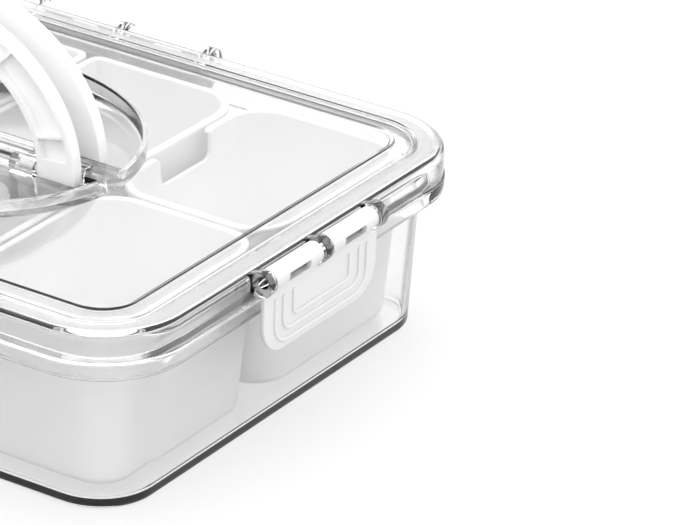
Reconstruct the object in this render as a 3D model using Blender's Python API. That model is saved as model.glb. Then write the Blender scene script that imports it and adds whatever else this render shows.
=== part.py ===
"""Clear lidded organizer box with eight lift-out bins, four snap latches and two folding handles.

Units are metres, +Z is up, +X runs along the long side. The origin is the centre of the base.
"""
import math

import bmesh
import bpy
from mathutils import Matrix, Vector

MM = 0.001

# ---- driving dimensions ----------------------------------------------------------------------
# The reference outline is where the lid's flat top meets its rounded shoulder. Every other
# outline is given as an offset from it, outward positive, and keeps concentric corners.
HALF_LENGTH = 179.0 * MM
HALF_WIDTH = 122.5 * MM
CORNER_RADIUS = 33.5 * MM
CORNER_STEPS = 6
LID_TOP = 83.0 * MM
SEAM_Z = 69.0 * MM
GAP = 0.3 * MM

# tub
TUB_WALL = 2.4 * MM
TUB_FLOOR = 3.0 * MM
TUB_OFFSET_TOP = -5.2 * MM
TUB_OFFSET_BASE = -7.9 * MM
BASE_RADIUS = 2.4 * MM
RIM_OFFSET = 4.8 * MM
RIM_BOTTOM = 61.5 * MM
LIP_TOP = 77.0 * MM
LIP_THICKNESS = 2.2 * MM

# lid
SKIRT_OFFSET = 4.2 * MM
SKIRT_WALL = 2.2 * MM
SHOULDER = 4.2 * MM
RING_TOP = 82.4 * MM
GROOVE_TOP = 81.6 * MM
GROOVE_OUTER = -8.2 * MM
PANEL_OFFSET = -17.0 * MM
PLATE = 2.2 * MM
CHANNEL_ROOF = 79.8 * MM
TONGUE_OFFSET = -7.6 * MM
TONGUE_BOTTOM = 75.2 * MM
SEAL_THICKNESS = 2.2 * MM

# handle recess
RECESS_HALF_LENGTH = 87.0 * MM
RECESS_HALF_WIDTH = 75.0 * MM
RECESS_FLOOR = 76.5 * MM
RECESS_UNDERSIDE = 74.7 * MM
RECESS_WALL = 1.8 * MM
BAR_HALF_WIDTH = 5.0 * MM

# handles
HANDLE_Y = 9.5 * MM
HANDLE_INWARD = 0.5 * MM
HANDLE_THICKNESS = 5.8 * MM
FOOT_STEPS = 10              # straight edges round the half circle under a foot
PIVOT_Z = 80.1 * MM
HANDLE_HALF_LENGTH = 76.0 * MM
HANDLE_RISE = 63.5 * MM
HANDLE_INNER_HALF = 57.0 * MM
HANDLE_INNER_RISE = 47.0 * MM
HANDLE_STEPS = 28
CHANNEL_BORDER = 3.0 * MM
CHANNEL_DEPTH = 3.2 * MM
RIB_ANGLES = (17.0, 53.5, 90.0, 126.5, 163.0)
RIB_THICKNESS = 1.4 * MM
PIN_RADIUS = 1.9 * MM
PIN_LENGTH = 8.0 * MM
BOSS_LENGTH = 12.0 * MM
BOSS_RADIUS = 3.9 * MM
BOSS_BORE = 2.25 * MM

# latches
LATCH_OFFSET = 8.2 * MM
LATCH_Z = 78.2 * MM
EAR_RADIUS = 5.6 * MM
EAR_THICKNESS = 5.4 * MM
ROD_RADIUS = 2.4 * MM
BARREL_RADIUS = 4.6 * MM
BARREL_BORE = 2.8 * MM
BARREL_GAP = 0.4 * MM
MOUTH_HEIGHT = 3.6 * MM
NECK_STEP = 0.1 * MM
RELIEF_RADIUS = 5.1 * MM
SHORT_EAR_PITCH = 40.0 * MM
LONG_EAR_PITCH = 45.0 * MM
LONG_SIDE_DROP = 1.8 * MM
PLATE_MARGIN = 0.4 * MM
PLATE_TOP = 71.8 * MM
PLATE_BOTTOM = 45.2 * MM
PLATE_INNER = 7.6 * MM
PLATE_THICKNESS = 2.2 * MM
PLATE_RADIUS = 14.0 * MM
WINDOW_WIDTH = 15.0 * MM
WINDOW_LOW = 75.4 * MM
WINDOW_HIGH = 79.4 * MM
RIDGE_INSETS = (7.6 * MM, 13.2 * MM, 20.4 * MM)
RIDGE_RISES = (3.4 * MM, 8.0 * MM, 12.6 * MM)
RIDGE_RADII = (9.0 * MM, 5.5 * MM, 3.0 * MM)
RIDGE_TOP = 68.5 * MM
RIDGE_RADIUS = 0.8 * MM
RIDGE_HEIGHT = 0.8 * MM
HOOK_OFFSET = 5.2 * MM
HOOK_TOP = 60.6 * MM
HOOK_BOTTOM = 57.0 * MM

# bins
BIN_TOP = 74.2 * MM
BIN_BASE = 3.4 * MM
BIN_COLUMNS = ((1.0 * MM, 80.2 * MM), (82.0 * MM, 164.6 * MM))
BIN_ROW = (1.0 * MM, 107.4 * MM)
BIN_RADIUS = 20.0 * MM
BIN_TIGHT_RADIUS = 6.0 * MM
BIN_WALL = 1.8 * MM
BIN_LIP = 1.6 * MM
BIN_LIP_HEIGHT = 2.4 * MM
BIN_DRAFT = 3.6 * MM
BIN_BASE_RADIUS = 5.0 * MM
NOTCH_TOP_WIDTH = 40.0 * MM
NOTCH_WIDTH = 29.0 * MM
NOTCH_DEPTH = 13.0 * MM

CLEAR = (0.93, 0.95, 0.96)
WHITE = (0.93, 0.93, 0.93)

# Outline axes for extrusions: a plate standing along a side, a section across it.
ALONG_SIDE = Matrix(((0, 0, 1, 0), (1, 0, 0, 0), (0, 1, 0, 0), (0, 0, 0, 1)))
ACROSS_SIDE = Matrix(((1, 0, 0, 0), (0, 0, 1, 0), (0, 1, 0, 0), (0, 0, 0, 1)))


# ---- scene helpers ---------------------------------------------------------------------------
def clear_scene():
    for item in list(bpy.data.objects):
        bpy.data.objects.remove(item, do_unlink=True)


def new_collection(name):
    collection = bpy.data.collections.new(name)
    bpy.context.scene.collection.children.link(collection)
    return collection


def new_material(name, colour, roughness, transmission=0.0):
    material = bpy.data.materials.new(name)
    material.use_nodes = True
    shader = material.node_tree.nodes["Principled BSDF"]
    shader.inputs["Base Color"].default_value = (*colour, 1.0)
    shader.inputs["Roughness"].default_value = roughness
    shader.inputs["Metallic"].default_value = 0.0
    shader.inputs["Transmission Weight"].default_value = transmission
    return material


def mesh_object(name, bm, collection):
    bmesh.ops.recalc_face_normals(bm, faces=bm.faces)
    mesh = bpy.data.meshes.new(name)
    bm.to_mesh(mesh)
    bm.free()
    item = bpy.data.objects.new(name, mesh)
    collection.objects.link(item)
    return item


def finish_part(item, material):
    item.data.materials.clear()
    item.data.materials.append(material)
    item.data.shade_smooth()
    item.data.set_sharp_from_angle(angle=math.radians(35))


def boolean(target, tool, operation):
    """Apply an exact boolean of tool on target and remove the tool."""
    modifier = target.modifiers.new("cut", "BOOLEAN")
    modifier.operation = operation
    modifier.solver = "EXACT"
    modifier.object = tool
    bpy.context.view_layer.update()
    graph = bpy.context.evaluated_depsgraph_get()
    result = bpy.data.meshes.new_from_object(target.evaluated_get(graph))
    target.modifiers.remove(modifier)
    old = target.data
    target.data = result
    bpy.data.meshes.remove(old)
    bpy.data.objects.remove(tool, do_unlink=True)


# ---- shape helpers ---------------------------------------------------------------------------
def rounded_outline(low, high, radii, steps):
    """Points of a rectangle with four corner radii, counter-clockwise from the low-x, low-y corner."""
    centres = (
        (low[0] + radii[0], low[1] + radii[0], math.pi),
        (high[0] - radii[1], low[1] + radii[1], 1.5 * math.pi),
        (high[0] - radii[2], high[1] - radii[2], 0.0),
        (low[0] + radii[3], high[1] - radii[3], 0.5 * math.pi),
    )
    points = []
    for (x, y, start), radius in zip(centres, radii):
        for step in range(steps + 1):
            angle = start + 0.5 * math.pi * step / steps
            points.append((x + radius * math.cos(angle), y + radius * math.sin(angle)))
    return points


def offset_outline(offset):
    """The reference outline moved outward by offset, with concentric corners."""
    half_x = HALF_LENGTH + offset
    half_y = HALF_WIDTH + offset
    radius = CORNER_RADIUS + offset
    return rounded_outline((-half_x, -half_y), (half_x, half_y), (radius,) * 4, CORNER_STEPS)


def loft(name, sections, collection, closed_ring=False):
    """Skin a stack of (outline, z) sections; the ends are capped, or joined for a ring."""
    bm = bmesh.new()
    loops = []
    for outline, z in sections:
        loops.append([bm.verts.new((x, y, z)) for x, y in outline])
    pairs = list(zip(loops, loops[1:]))
    if closed_ring:
        pairs.append((loops[-1], loops[0]))
    for lower, upper in pairs:
        count = len(lower)
        for index in range(count):
            following = (index + 1) % count
            bm.faces.new((lower[index], lower[following], upper[following], upper[index]))
    if not closed_ring:
        bm.faces.new(loops[0])
        bm.faces.new(loops[-1])
    return mesh_object(name, bm, collection)


def offset_stack(profile):
    return [(offset_outline(offset), z) for offset, z in profile]


def arc_profile(centre, radius, start, end, steps):
    """(offset, z) points on an arc; angles in degrees, 0 pointing outward and 90 up."""
    points = []
    for step in range(steps + 1):
        angle = math.radians(start + (end - start) * step / steps)
        points.append((centre[0] + radius * math.cos(angle), centre[1] + radius * math.sin(angle)))
    return points


def box(name, low, high, collection):
    bm = bmesh.new()
    bmesh.ops.create_cube(bm, size=1.0)
    size = Vector(high) - Vector(low)
    centre = (Vector(high) + Vector(low)) / 2
    bmesh.ops.scale(bm, vec=size, verts=bm.verts)
    bmesh.ops.translate(bm, vec=centre, verts=bm.verts)
    return mesh_object(name, bm, collection)


def rod(name, start, end, radius, segments, collection):
    """A cylinder between two points."""
    start = Vector(start)
    end = Vector(end)
    bm = bmesh.new()
    bmesh.ops.create_cone(
        bm, cap_ends=True, segments=segments, radius1=radius, radius2=radius, depth=(end - start).length)
    turn = Vector((0, 0, 1)).rotation_difference(end - start).to_matrix().to_4x4()
    bmesh.ops.transform(bm, matrix=Matrix.Translation((start + end) / 2) @ turn, verts=bm.verts)
    return mesh_object(name, bm, collection)


def extruded(name, outline, low, high, matrix, collection):
    """Extrude a flat outline from low to high along its own Z, then place it with matrix."""
    bm = bmesh.new()
    face = bm.faces.new([bm.verts.new((x, y, low)) for x, y in outline])
    lifted = bmesh.ops.extrude_face_region(bm, geom=[face])["geom"]
    top = [item for item in lifted if isinstance(item, bmesh.types.BMVert)]
    bmesh.ops.translate(bm, vec=(0, 0, high - low), verts=top)
    bmesh.ops.transform(bm, matrix=matrix, verts=bm.verts)
    return mesh_object(name, bm, collection)


def half_ellipse(half_x, half_y, floor_y, side, steps):
    """The part of an ellipse beyond floor_y on one side of the X axis."""
    start = math.asin(floor_y / half_y)
    points = []
    for step in range(steps + 1):
        angle = start + (math.pi - 2 * start) * step / steps
        points.append((half_x * math.cos(angle), side * half_y * math.sin(angle)))
    return points


# ---- tub -------------------------------------------------------------------------------------
def make_tub(parts):
    lip_outer = TUB_OFFSET_TOP + 0.2 * MM
    lip_inner = lip_outer - LIP_THICKNESS
    profile = [(TUB_OFFSET_BASE - BASE_RADIUS, 0.0)]
    profile += arc_profile((TUB_OFFSET_BASE - BASE_RADIUS, BASE_RADIUS), BASE_RADIUS, -60, 0, 2)
    profile += [(TUB_OFFSET_TOP, RIM_BOTTOM)]
    profile += arc_profile((RIM_OFFSET - 2.5 * MM, RIM_BOTTOM + 2.5 * MM), 2.5 * MM, -80, 0, 2)
    profile += [
        (RIM_OFFSET, SEAM_Z - 0.8 * MM),
        (RIM_OFFSET - 0.8 * MM, SEAM_Z),
        (lip_outer, SEAM_Z),
        (lip_outer, LIP_TOP),
        (lip_inner, LIP_TOP),
        (TUB_OFFSET_TOP - TUB_WALL, RIM_BOTTOM),
        (TUB_OFFSET_BASE - TUB_WALL, TUB_FLOOR + 2.4 * MM),
        (TUB_OFFSET_BASE - TUB_WALL - 2.4 * MM, TUB_FLOOR),
    ]
    return loft("tub", offset_stack(profile), parts)


# ---- lid -------------------------------------------------------------------------------------
def latch_frames():
    """Name, ear pitch and placing matrix of each latch: local X runs outward, local Y along the side."""
    frames = []
    for name, turn, reach, pitch, drop in (
            ("right", 0, HALF_LENGTH, SHORT_EAR_PITCH, 0.0),
            ("rear", 90, HALF_WIDTH, LONG_EAR_PITCH, LONG_SIDE_DROP),
            ("left", 180, HALF_LENGTH, SHORT_EAR_PITCH, 0.0),
            ("front", 270, HALF_WIDTH, LONG_EAR_PITCH, LONG_SIDE_DROP)):
        matrix = Matrix.Rotation(math.radians(turn), 4, "Z") @ Matrix.Translation((reach, 0, -drop))
        frames.append((name, pitch, matrix))
    return frames


def placed(item, matrix):
    item.data.transform(matrix)
    return item


def lid_plate(parts):
    shoulder = arc_profile((0.0, RING_TOP - SHOULDER), SHOULDER, 90, 0, 4)
    inner = SKIRT_OFFSET - SKIRT_WALL
    profile = [
        (PANEL_OFFSET, LID_TOP),
        (PANEL_OFFSET + 0.3 * MM, GROOVE_TOP),
        (GROOVE_OUTER, GROOVE_TOP),
        (GROOVE_OUTER + 0.3 * MM, RING_TOP),
    ]
    profile += shoulder
    profile += [
        (SKIRT_OFFSET + 0.1 * MM, SEAM_Z + GAP),
        (inner, SEAM_Z + GAP),
        (inner, CHANNEL_ROOF),
        (TONGUE_OFFSET, CHANNEL_ROOF),
        (TONGUE_OFFSET, TONGUE_BOTTOM),
        (TONGUE_OFFSET - 1.8 * MM, TONGUE_BOTTOM),
        (TONGUE_OFFSET - 2.0 * MM, GROOVE_TOP - PLATE),
        (PANEL_OFFSET - 1.6 * MM, GROOVE_TOP - PLATE),
        (PANEL_OFFSET - 1.9 * MM, LID_TOP - PLATE),
    ]
    return loft("lid", offset_stack(profile), parts)


def cut_recess(lid, cutters):
    """Two half-moon pockets with thin floors and walls, either side of a central bar."""
    outer_x = RECESS_HALF_LENGTH + RECESS_WALL
    outer_y = RECESS_HALF_WIDTH + RECESS_WALL
    steps = 48
    tray = extruded(
        "tray", [(outer_x * math.cos(2 * math.pi * k / steps), outer_y * math.sin(2 * math.pi * k / steps))
                 for k in range(steps)],
        RECESS_UNDERSIDE, LID_TOP - PLATE / 2, Matrix.Identity(4), cutters)
    boolean(lid, tray, "UNION")
    for side in (-1, 1):
        outline = half_ellipse(RECESS_HALF_LENGTH, RECESS_HALF_WIDTH, BAR_HALF_WIDTH, side, 26)
        pocket = extruded("pocket", outline, RECESS_FLOOR, LID_TOP + 5 * MM, Matrix.Identity(4), cutters)
        boolean(lid, pocket, "DIFFERENCE")
    hollow = box(
        "hollow", (-RECESS_HALF_LENGTH + 12 * MM, -BAR_HALF_WIDTH + RECESS_WALL, RECESS_UNDERSIDE - MM),
        (RECESS_HALF_LENGTH - 12 * MM, BAR_HALF_WIDTH - RECESS_WALL, LID_TOP - PLATE), cutters)
    boolean(lid, hollow, "DIFFERENCE")


def add_bosses(lid, cutters):
    """Four lugs on the recess floor, beside the bar, each bored for a handle's stub pin."""
    outline = [(HANDLE_Y + BOSS_RADIUS, RECESS_FLOOR - MM), (HANDLE_Y + BOSS_RADIUS, PIVOT_Z)]
    for step in range(1, 8):
        angle = math.pi * step / 8
        outline.append((HANDLE_Y + BOSS_RADIUS * math.cos(angle), PIVOT_Z + BOSS_RADIUS * math.sin(angle)))
    outline += [(HANDLE_Y - BOSS_RADIUS, PIVOT_Z), (BAR_HALF_WIDTH - MM, PIVOT_Z)]
    outline += [(BAR_HALF_WIDTH - MM, RECESS_FLOOR - MM)]
    face_x = HANDLE_INNER_HALF - 0.8 * MM
    for side_x in (-1, 1):
        for side_y in (-1, 1):
            axes = Matrix(((0, 0, side_x, 0), (side_y, 0, 0, 0), (0, 1, 0, 0), (0, 0, 0, 1)))
            lug = extruded("lug", outline, face_x - BOSS_LENGTH, face_x, axes, cutters)
            boolean(lid, lug, "UNION")
            bore_end = side_x * (face_x - PIN_LENGTH - MM)
            bore = rod("bore", (bore_end, side_y * HANDLE_Y, PIVOT_Z),
                       (side_x * (face_x + 0.5 * MM), side_y * HANDLE_Y, PIVOT_Z), BOSS_BORE, 16, cutters)
            boolean(lid, bore, "DIFFERENCE")


def add_latch_mounts(lid, cutters):
    """Three ears and a moulded rod for each latch, with the skirt relieved behind the barrels."""
    for _, pitch, matrix in latch_frames():
        centre = (LATCH_OFFSET, LATCH_Z)
        for side in (-1, 1):
            inner_end = side * EAR_THICKNESS / 2
            outer_end = side * (pitch - EAR_THICKNESS / 2)
            relief = rod("relief", (centre[0], inner_end, centre[1]), (centre[0], outer_end, centre[1]),
                         RELIEF_RADIUS, 24, cutters)
            boolean(lid, placed(relief, matrix), "DIFFERENCE")
        for place in (-pitch, 0, pitch):
            low = place - EAR_THICKNESS / 2
            high = place + EAR_THICKNESS / 2
            outline = [(SKIRT_OFFSET - MM, LATCH_Z - 4.6 * MM)]
            for step in range(13):
                angle = math.radians(-125 + 240 * step / 12)
                outline.append((centre[0] + EAR_RADIUS * math.cos(angle),
                                centre[1] + EAR_RADIUS * math.sin(angle)))
            outline.append((SKIRT_OFFSET - 2.4 * MM, LATCH_Z + 3.4 * MM))
            ear = extruded("ear", outline, low, high, ACROSS_SIDE, cutters)
            boolean(lid, placed(ear, matrix), "UNION")
        for side in (-1, 1):
            bar = rod("bar", (centre[0], side * MM, centre[1]), (centre[0], side * (pitch - MM), centre[1]),
                      ROD_RADIUS, 16, cutters)
            boolean(lid, placed(bar, matrix), "UNION")


def make_lid(parts, cutters):
    lid = lid_plate(parts)
    cut_recess(lid, cutters)
    add_bosses(lid, cutters)
    add_latch_mounts(lid, cutters)
    return lid


def make_seal(parts):
    low = LIP_TOP + GAP
    high = CHANNEL_ROOF - GAP
    outer = SKIRT_OFFSET - SKIRT_WALL - 2.6 * MM
    inner = TONGUE_OFFSET + GAP
    profile = [(outer, low), (outer, high), (inner, high), (inner, low)]
    return loft("seal", offset_stack(profile), parts, closed_ring=True)


# ---- handles ---------------------------------------------------------------------------------
def arch_outline(half_x, rise, inner_x, inner_rise):
    """Half-oval band standing on its two feet, in (x, height above pivot)."""
    foot = HANDLE_THICKNESS / 2
    outer = []
    inner = []
    for step in range(HANDLE_STEPS + 1):
        angle = math.pi * step / HANDLE_STEPS
        outer.append((half_x * math.cos(angle), rise * math.sin(angle)))
        inner.append((inner_x * math.cos(angle), inner_rise * math.sin(angle)))
    outer = [(half_x, -foot)] + outer + [(-half_x, -foot)]
    inner = [(inner_x, -foot)] + inner + [(-inner_x, -foot)]
    return outer + inner[::-1]


def make_handle(name, side, parts, cutters):
    """side is -1 at the front and +1 at the rear; the channel faces away from the bar."""
    centre_y = side * (HANDLE_Y - HANDLE_INWARD)
    half = HANDLE_THICKNESS / 2
    axes = Matrix(((1, 0, 0, 0), (0, 0, -side, centre_y), (0, 1, 0, PIVOT_Z), (0, 0, 0, 1)))
    outline = arch_outline(HANDLE_HALF_LENGTH, HANDLE_RISE, HANDLE_INNER_HALF, HANDLE_INNER_RISE)
    handle = extruded(name, outline, -half, half, axes, parts)

    border = CHANNEL_BORDER
    band_outer = (HANDLE_HALF_LENGTH - border, HANDLE_RISE - border)
    band_inner = (HANDLE_INNER_HALF + border, HANDLE_INNER_RISE + border)
    first = math.asin(6.5 * MM / HANDLE_RISE)
    ribs = [first] + [math.radians(angle) for angle in RIB_ANGLES] + [math.pi - first]
    web = RIB_THICKNESS / 2 / HANDLE_RISE
    for start, end in zip(ribs, ribs[1:]):
        start += web
        end -= web
        angles = [start + (end - start) * step / 4 for step in range(5)]
        outer = [(band_outer[0] * math.cos(a), band_outer[1] * math.sin(a)) for a in angles]
        inner = [(band_inner[0] * math.cos(a), band_inner[1] * math.sin(a)) for a in angles]
        pocket = extruded("pocket", outer + inner[::-1], -half - MM, -half + CHANNEL_DEPTH, axes, cutters)
        boolean(handle, pocket, "DIFFERENCE")

    round_foot(handle, side, cutters)
    for side_x in (-1, 1):
        face_x = side_x * (HANDLE_INNER_HALF + 4 * MM)
        tip_x = side_x * (HANDLE_INNER_HALF - 0.8 * MM - PIN_LENGTH)
        pin = rod("pin", (tip_x, side * HANDLE_Y, PIVOT_Z), (face_x, side * HANDLE_Y, PIVOT_Z),
                  PIN_RADIUS, 16, cutters)
        boolean(handle, pin, "UNION")
    pivot = Vector((0, side * HANDLE_Y, PIVOT_Z))
    handle.data.transform(Matrix.Translation(-pivot))
    handle.location = pivot
    return handle


def round_foot(handle, side, cutters):
    """Round both feet about the pivot axis so that they turn inside the recess."""
    half = HANDLE_THICKNESS / 2
    radius = half + HANDLE_INWARD
    arc = []
    for step in range(FOOT_STEPS + 1):
        angle = -math.pi * step / FOOT_STEPS
        arc.append((side * HANDLE_INWARD + radius * math.cos(angle), radius * math.sin(angle)))
    outline = [(-half - 2 * MM, 0.0), (-half - 2 * MM, -radius - MM)]
    outline += [(half + 2 * MM, -radius - MM), (half + 2 * MM, 0.0)]
    outline += arc
    reach = HANDLE_HALF_LENGTH + 2 * MM
    place = Matrix(((0, 0, 1, 0), (1, 0, 0, side * (HANDLE_Y - HANDLE_INWARD)), (0, 1, 0, PIVOT_Z),
                    (0, 0, 0, 1)))
    cutter = extruded("foot", outline, -reach, reach, place, cutters)
    boolean(handle, cutter, "DIFFERENCE")


# ---- latches ---------------------------------------------------------------------------------
def plate_outline(half_width):
    """Latch plate seen from outside: square at the top, large radii at the bottom."""
    points = [(half_width, PLATE_TOP), (-half_width, PLATE_TOP)]
    for side, start in ((-1, 180), (1, 270)):
        centre_y = side * (half_width - PLATE_RADIUS)
        for step in range(7):
            angle = math.radians(start + 90 * step / 6)
            points.append((centre_y + PLATE_RADIUS * math.cos(angle),
                           PLATE_BOTTOM + PLATE_RADIUS + PLATE_RADIUS * math.sin(angle)))
    return points


def ridge_path(half_width, rise, radius):
    """Centre line of one U-shaped ridge, in (along, z)."""
    bottom = PLATE_BOTTOM + rise
    points = [(-half_width, RIDGE_TOP)]
    for side, start in ((-1, 180), (1, 270)):
        centre_y = side * (half_width - radius)
        for step in range(4):
            angle = math.radians(start + 90 * step / 3)
            points.append((centre_y + radius * math.cos(angle), bottom + radius + radius * math.sin(angle)))
    points.append((half_width, RIDGE_TOP))
    return points


def add_ridge(latch, half_width, rise, radius, cutters):
    """A raised U on the plate's outer face with rounded upper ends."""
    wide = ridge_path(half_width + RIDGE_RADIUS, rise - RIDGE_RADIUS, radius + RIDGE_RADIUS)
    narrow = ridge_path(half_width - RIDGE_RADIUS, rise + RIDGE_RADIUS, radius - RIDGE_RADIUS)
    tips = []
    for side in (1, -1):
        for step in range(1, 4):
            angle = math.pi * step / 4
            tips.append((side * half_width + RIDGE_RADIUS * math.cos(angle),
                         RIDGE_TOP + RIDGE_RADIUS * math.sin(angle)))
    outline = wide + tips[:3] + narrow[::-1] + tips[3:]
    face = PLATE_INNER + PLATE_THICKNESS
    ridge = extruded("ridge", outline, face - 0.5 * MM, face + RIDGE_HEIGHT, ALONG_SIDE, cutters)
    boolean(latch, ridge, "UNION")


def make_latch(name, pitch, matrix, parts, cutters):
    """A flap on two split barrels, modelled facing +X and then placed with its origin on its rod."""
    half_width = pitch + PLATE_MARGIN
    outer = PLATE_INNER + PLATE_THICKNESS
    latch = extruded(name, plate_outline(half_width), PLATE_INNER, outer, ALONG_SIDE, parts)
    inner_end = EAR_THICKNESS / 2 + BARREL_GAP
    outer_end = pitch - EAR_THICKNESS / 2 - BARREL_GAP
    for side in (-1, 1):
        ends = sorted((side * inner_end, side * outer_end))
        barrel = rod("barrel", (LATCH_OFFSET, ends[0], LATCH_Z), (LATCH_OFFSET, ends[1], LATCH_Z),
                     BARREL_RADIUS, 24, cutters)
        neck = box("neck", (PLATE_INNER + NECK_STEP, ends[0] + NECK_STEP, PLATE_TOP - 2 * MM),
                   (outer - NECK_STEP, ends[1] - NECK_STEP, LATCH_Z - MM), cutters)
        boolean(latch, neck, "UNION")
        boolean(latch, barrel, "UNION")
        bore = rod("bore", (LATCH_OFFSET, ends[0] - MM, LATCH_Z), (LATCH_OFFSET, ends[1] + MM, LATCH_Z),
                   BARREL_BORE, 20, cutters)
        boolean(latch, bore, "DIFFERENCE")
        middle = side * pitch / 2
        window = box("window", (LATCH_OFFSET - 0.4 * MM, middle - WINDOW_WIDTH / 2, WINDOW_LOW),
                     (LATCH_OFFSET + 8 * MM, middle + WINDOW_WIDTH / 2, WINDOW_HIGH), cutters)
        boolean(latch, window, "DIFFERENCE")
        mouth = box("mouth", (LATCH_OFFSET - 8 * MM, ends[0] - MM, LATCH_Z - MOUTH_HEIGHT / 2),
                    (LATCH_OFFSET, ends[1] + MM, LATCH_Z + MOUTH_HEIGHT / 2), cutters)
        boolean(latch, mouth, "DIFFERENCE")
    for inset, rise, radius in zip(RIDGE_INSETS, RIDGE_RISES, RIDGE_RADII):
        add_ridge(latch, half_width - inset, rise, radius, cutters)
    hook_half = half_width - PLATE_RADIUS
    root = PLATE_INNER + 0.5 * MM
    hook_outline = [(HOOK_OFFSET, HOOK_TOP), (HOOK_OFFSET, HOOK_TOP - 1.2 * MM),
                    (root, HOOK_BOTTOM), (root, HOOK_TOP)]
    hook = extruded("hook", hook_outline, -hook_half, hook_half, ACROSS_SIDE, cutters)
    boolean(latch, hook, "UNION")
    latch.data.transform(Matrix.Translation((-LATCH_OFFSET, 0, -LATCH_Z)))
    latch.matrix_world = matrix @ Matrix.Translation((LATCH_OFFSET, 0, LATCH_Z))
    return latch


# ---- bins ------------------------------------------------------------------------------------
def bin_outline(low, high, inset, radii):
    shrunk = tuple(max(radius - inset, 1.5 * MM) for radius in radii)
    return rounded_outline((low[0] + inset, low[1] + inset), (high[0] - inset, high[1] - inset), shrunk, 4)


def make_bin(name, column, side_x, side_y, parts, cutters):
    """One lift-out bin; column 0 is beside the middle of the box and column 1 at its end."""
    xs = sorted(side_x * value for value in BIN_COLUMNS[column])
    ys = sorted(side_y * value for value in BIN_ROW)
    low = (xs[0], ys[0])
    high = (xs[1], ys[1])
    inner_radius = BIN_TIGHT_RADIUS if column == 0 else BIN_RADIUS
    left, right = (inner_radius, BIN_RADIUS) if side_x > 0 else (BIN_RADIUS, inner_radius)
    radii = (left, right, right, left)
    base_inset = BIN_LIP + BIN_DRAFT
    profile = [
        (base_inset + BIN_BASE_RADIUS, BIN_BASE),
        (base_inset + BIN_BASE_RADIUS * 0.3, BIN_BASE + BIN_BASE_RADIUS * 0.3),
        (base_inset, BIN_BASE + BIN_BASE_RADIUS),
        (BIN_LIP, BIN_TOP - BIN_LIP_HEIGHT),
        (0.0, BIN_TOP - BIN_LIP_HEIGHT),
        (0.0, BIN_TOP - 0.5 * MM),
        (0.5 * MM, BIN_TOP),
        (BIN_LIP + BIN_WALL, BIN_TOP),
        (base_inset + BIN_WALL, BIN_BASE + BIN_BASE_RADIUS),
        (base_inset + BIN_WALL + 3.5 * MM, BIN_BASE + BIN_WALL),
    ]
    sections = [(bin_outline(low, high, inset, radii), z) for inset, z in profile]
    item = loft(name, sections, parts)
    if column == 1 and side_y > 0:
        cut_notch(item, side_x * BIN_COLUMNS[1][0], side_y * (BIN_ROW[0] + BIN_ROW[1]) / 2, cutters)
    return item


def cut_notch(item, wall_x, middle_y, cutters):
    """Finger notch of the rear end bins, in the wall that faces the neighbouring bin."""
    low_z = BIN_TOP - NOTCH_DEPTH
    wide = NOTCH_TOP_WIDTH / 2
    narrow = NOTCH_WIDTH / 2
    outline = [(-narrow, low_z), (narrow, low_z), (narrow + 2.5 * MM, low_z + 2.5 * MM),
               (wide - MM, BIN_TOP - 2.5 * MM), (wide + 1.5 * MM, BIN_TOP + MM),
               (-wide - 1.5 * MM, BIN_TOP + MM), (-wide + MM, BIN_TOP - 2.5 * MM),
               (-narrow - 2.5 * MM, low_z + 2.5 * MM)]
    axes = Matrix(((0, 0, 1, wall_x), (1, 0, 0, middle_y), (0, 1, 0, 0), (0, 0, 0, 1)))
    notch = extruded("notch", outline, -8 * MM, 8 * MM, axes, cutters)
    boolean(item, notch, "DIFFERENCE")


# ---- assembly --------------------------------------------------------------------------------
def main():
    clear_scene()
    parts = new_collection("organizer")
    cutters = new_collection("cutters")

    finish_part(make_tub(parts), new_material("tub_clear", CLEAR, 0.04, 1.0))
    finish_part(make_lid(parts, cutters), new_material("lid_clear", CLEAR, 0.04, 1.0))
    finish_part(make_seal(parts), new_material("seal_silicone", (0.9, 0.91, 0.92), 0.35, 0.6))
    finish_part(make_handle("handle_front", -1, parts, cutters), new_material("handle_front", WHITE, 0.35))
    finish_part(make_handle("handle_rear", 1, parts, cutters), new_material("handle_rear", WHITE, 0.35))
    for name, pitch, matrix in latch_frames():
        latch = make_latch("latch_" + name, pitch, matrix, parts, cutters)
        finish_part(latch, new_material("latch_" + name, WHITE, 0.35))
    for row, side_y in (("front", -1), ("rear", 1)):
        for number, (column, side_x) in enumerate(((1, -1), (0, -1), (0, 1), (1, 1)), start=1):
            name = "bin_" + row + "_" + str(number)
            item = make_bin(name, column, side_x, side_y, parts, cutters)
            finish_part(item, new_material(name, WHITE, 0.45))


main()
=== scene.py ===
"""Looks for the clear lidded organizer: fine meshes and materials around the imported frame.

Units are metres, +Z is up, +X runs along the long side and -Y is the front.
"""
import math

import bmesh
import bpy
from mathutils import Matrix, Vector


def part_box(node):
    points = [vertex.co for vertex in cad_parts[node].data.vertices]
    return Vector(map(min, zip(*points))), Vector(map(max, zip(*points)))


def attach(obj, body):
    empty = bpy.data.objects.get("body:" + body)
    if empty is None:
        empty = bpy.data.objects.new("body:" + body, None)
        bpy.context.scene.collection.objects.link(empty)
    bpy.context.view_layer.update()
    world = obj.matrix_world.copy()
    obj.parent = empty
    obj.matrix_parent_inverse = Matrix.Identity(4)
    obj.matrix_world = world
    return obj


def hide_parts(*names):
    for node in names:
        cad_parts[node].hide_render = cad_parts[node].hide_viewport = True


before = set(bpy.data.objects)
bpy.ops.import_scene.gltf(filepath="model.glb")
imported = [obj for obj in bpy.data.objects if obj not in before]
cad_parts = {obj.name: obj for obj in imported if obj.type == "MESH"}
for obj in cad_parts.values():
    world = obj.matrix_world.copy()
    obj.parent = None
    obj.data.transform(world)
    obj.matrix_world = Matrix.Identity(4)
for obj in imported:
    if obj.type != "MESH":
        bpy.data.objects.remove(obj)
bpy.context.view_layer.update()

MM = 0.001

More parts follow.
